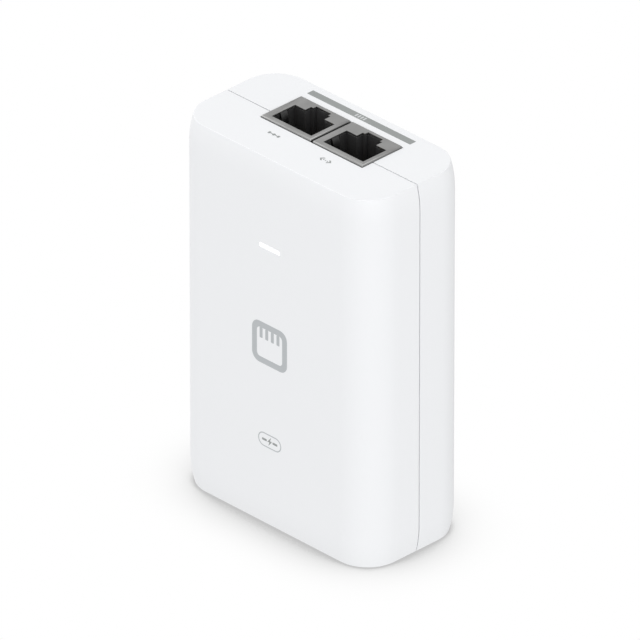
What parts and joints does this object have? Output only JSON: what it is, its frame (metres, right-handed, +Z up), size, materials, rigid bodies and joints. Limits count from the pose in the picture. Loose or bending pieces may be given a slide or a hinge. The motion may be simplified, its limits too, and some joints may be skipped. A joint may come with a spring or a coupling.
{
  "type": "poe injector",
  "caption": "Slim upright mains power injector with shielded network jacks on top, a front light bar and a recessed mains inlet in the base.",
  "frame": {"origin": "centre of the base, on the surface that the injector stands on", "axes": "+Z up through the jacks, -Y out of the front face with the light bar, +X to the right seen from the front"},
  "size_m": [0.061, 0.032, 0.093],
  "materials": {
    "white_housing": "fine satin texture, very light grey white",
    "light_guide": "milky, glossy",
    "tinned_steel": "dull plated sheet",
    "black_moulding": "satin",
    "gold_contact": "bright gold plating",
    "nickel": "nickel plated",
    "board": "solder mask",
    "ferrite": "dark sintered ferrite",
    "yellow_tape": "polyester tape",
    "copper": "enamelled wire",
    "can_sleeve": "shrink sleeve",
    "heatsink": "mill finish",
    "blue_ceramic": "dipped coating",
    "grey_box": "moulded box",
    "fuse_tube": "ceramic tube",
    "film": "plain film",
    "led": "lamp package"
  },
  "bodies": {
    "housing": {"front_shell": "white_housing", "rear_shell": "white_housing", "rating_label": "film", "light_pipe": "light_guide", "status_led": "led", "data_port_shield": "tinned_steel", "power_port_shield": "tinned_steel", "data_port_body": "black_moulding", "power_port_body": "black_moulding", "inlet_body": "black_moulding", "inlet_line_pin": "nickel", "inlet_neutral_pin": "nickel", "inlet_earth_pin": "nickel", "main_board": "board", "insulation_sheet": "film", "board_screw_1": "nickel", "board_screw_2": "nickel", "line_fuse": "fuse_tube", "surge_varistor": "blue_ceramic", "x_capacitor": "grey_box", "choke_core": "ferrite", "choke_winding_1": "copper", "choke_winding_2": "copper", "bridge_rectifier": "black_moulding", "bulk_capacitor": "can_sleeve", "transformer_core": "ferrite", "transformer_winding": "yellow_tape", "switching_transistor": "black_moulding", "primary_heatsink": "heatsink", "output_diode": "black_moulding", "secondary_heatsink": "heatsink", "y_capacitor": "blue_ceramic", "optocoupler": "black_moulding", "output_capacitor_1": "can_sleeve", "output_capacitor_2": "can_sleeve", "output_inductor": "ferrite", "lan_transformer_1": "black_moulding", "lan_transformer_2": "black_moulding", "power_controller": "black_moulding", "feed_controller": "black_moulding"},
    "data_contacts": {"data_port_contacts": "gold_contact"},
    "power_contacts": {"power_port_contacts": "gold_contact"}
  },
  "joints": [
    {"name": "data_contacts_flex", "type": "hinge", "parent": "housing", "child": "data_contacts", "pos_m": [-0.00756, -0.00185, 0.09078], "axis": [-1, 0, 0], "range_deg": [0, 9], "stiffness_Nm_per_rad": 0.38},
    {"name": "power_contacts_flex", "type": "hinge", "parent": "housing", "child": "power_contacts", "pos_m": [0.00849, -0.00185, 0.09078], "axis": [-1, 0, 0], "range_deg": [0, 9], "stiffness_Nm_per_rad": 0.38}
  ]
}
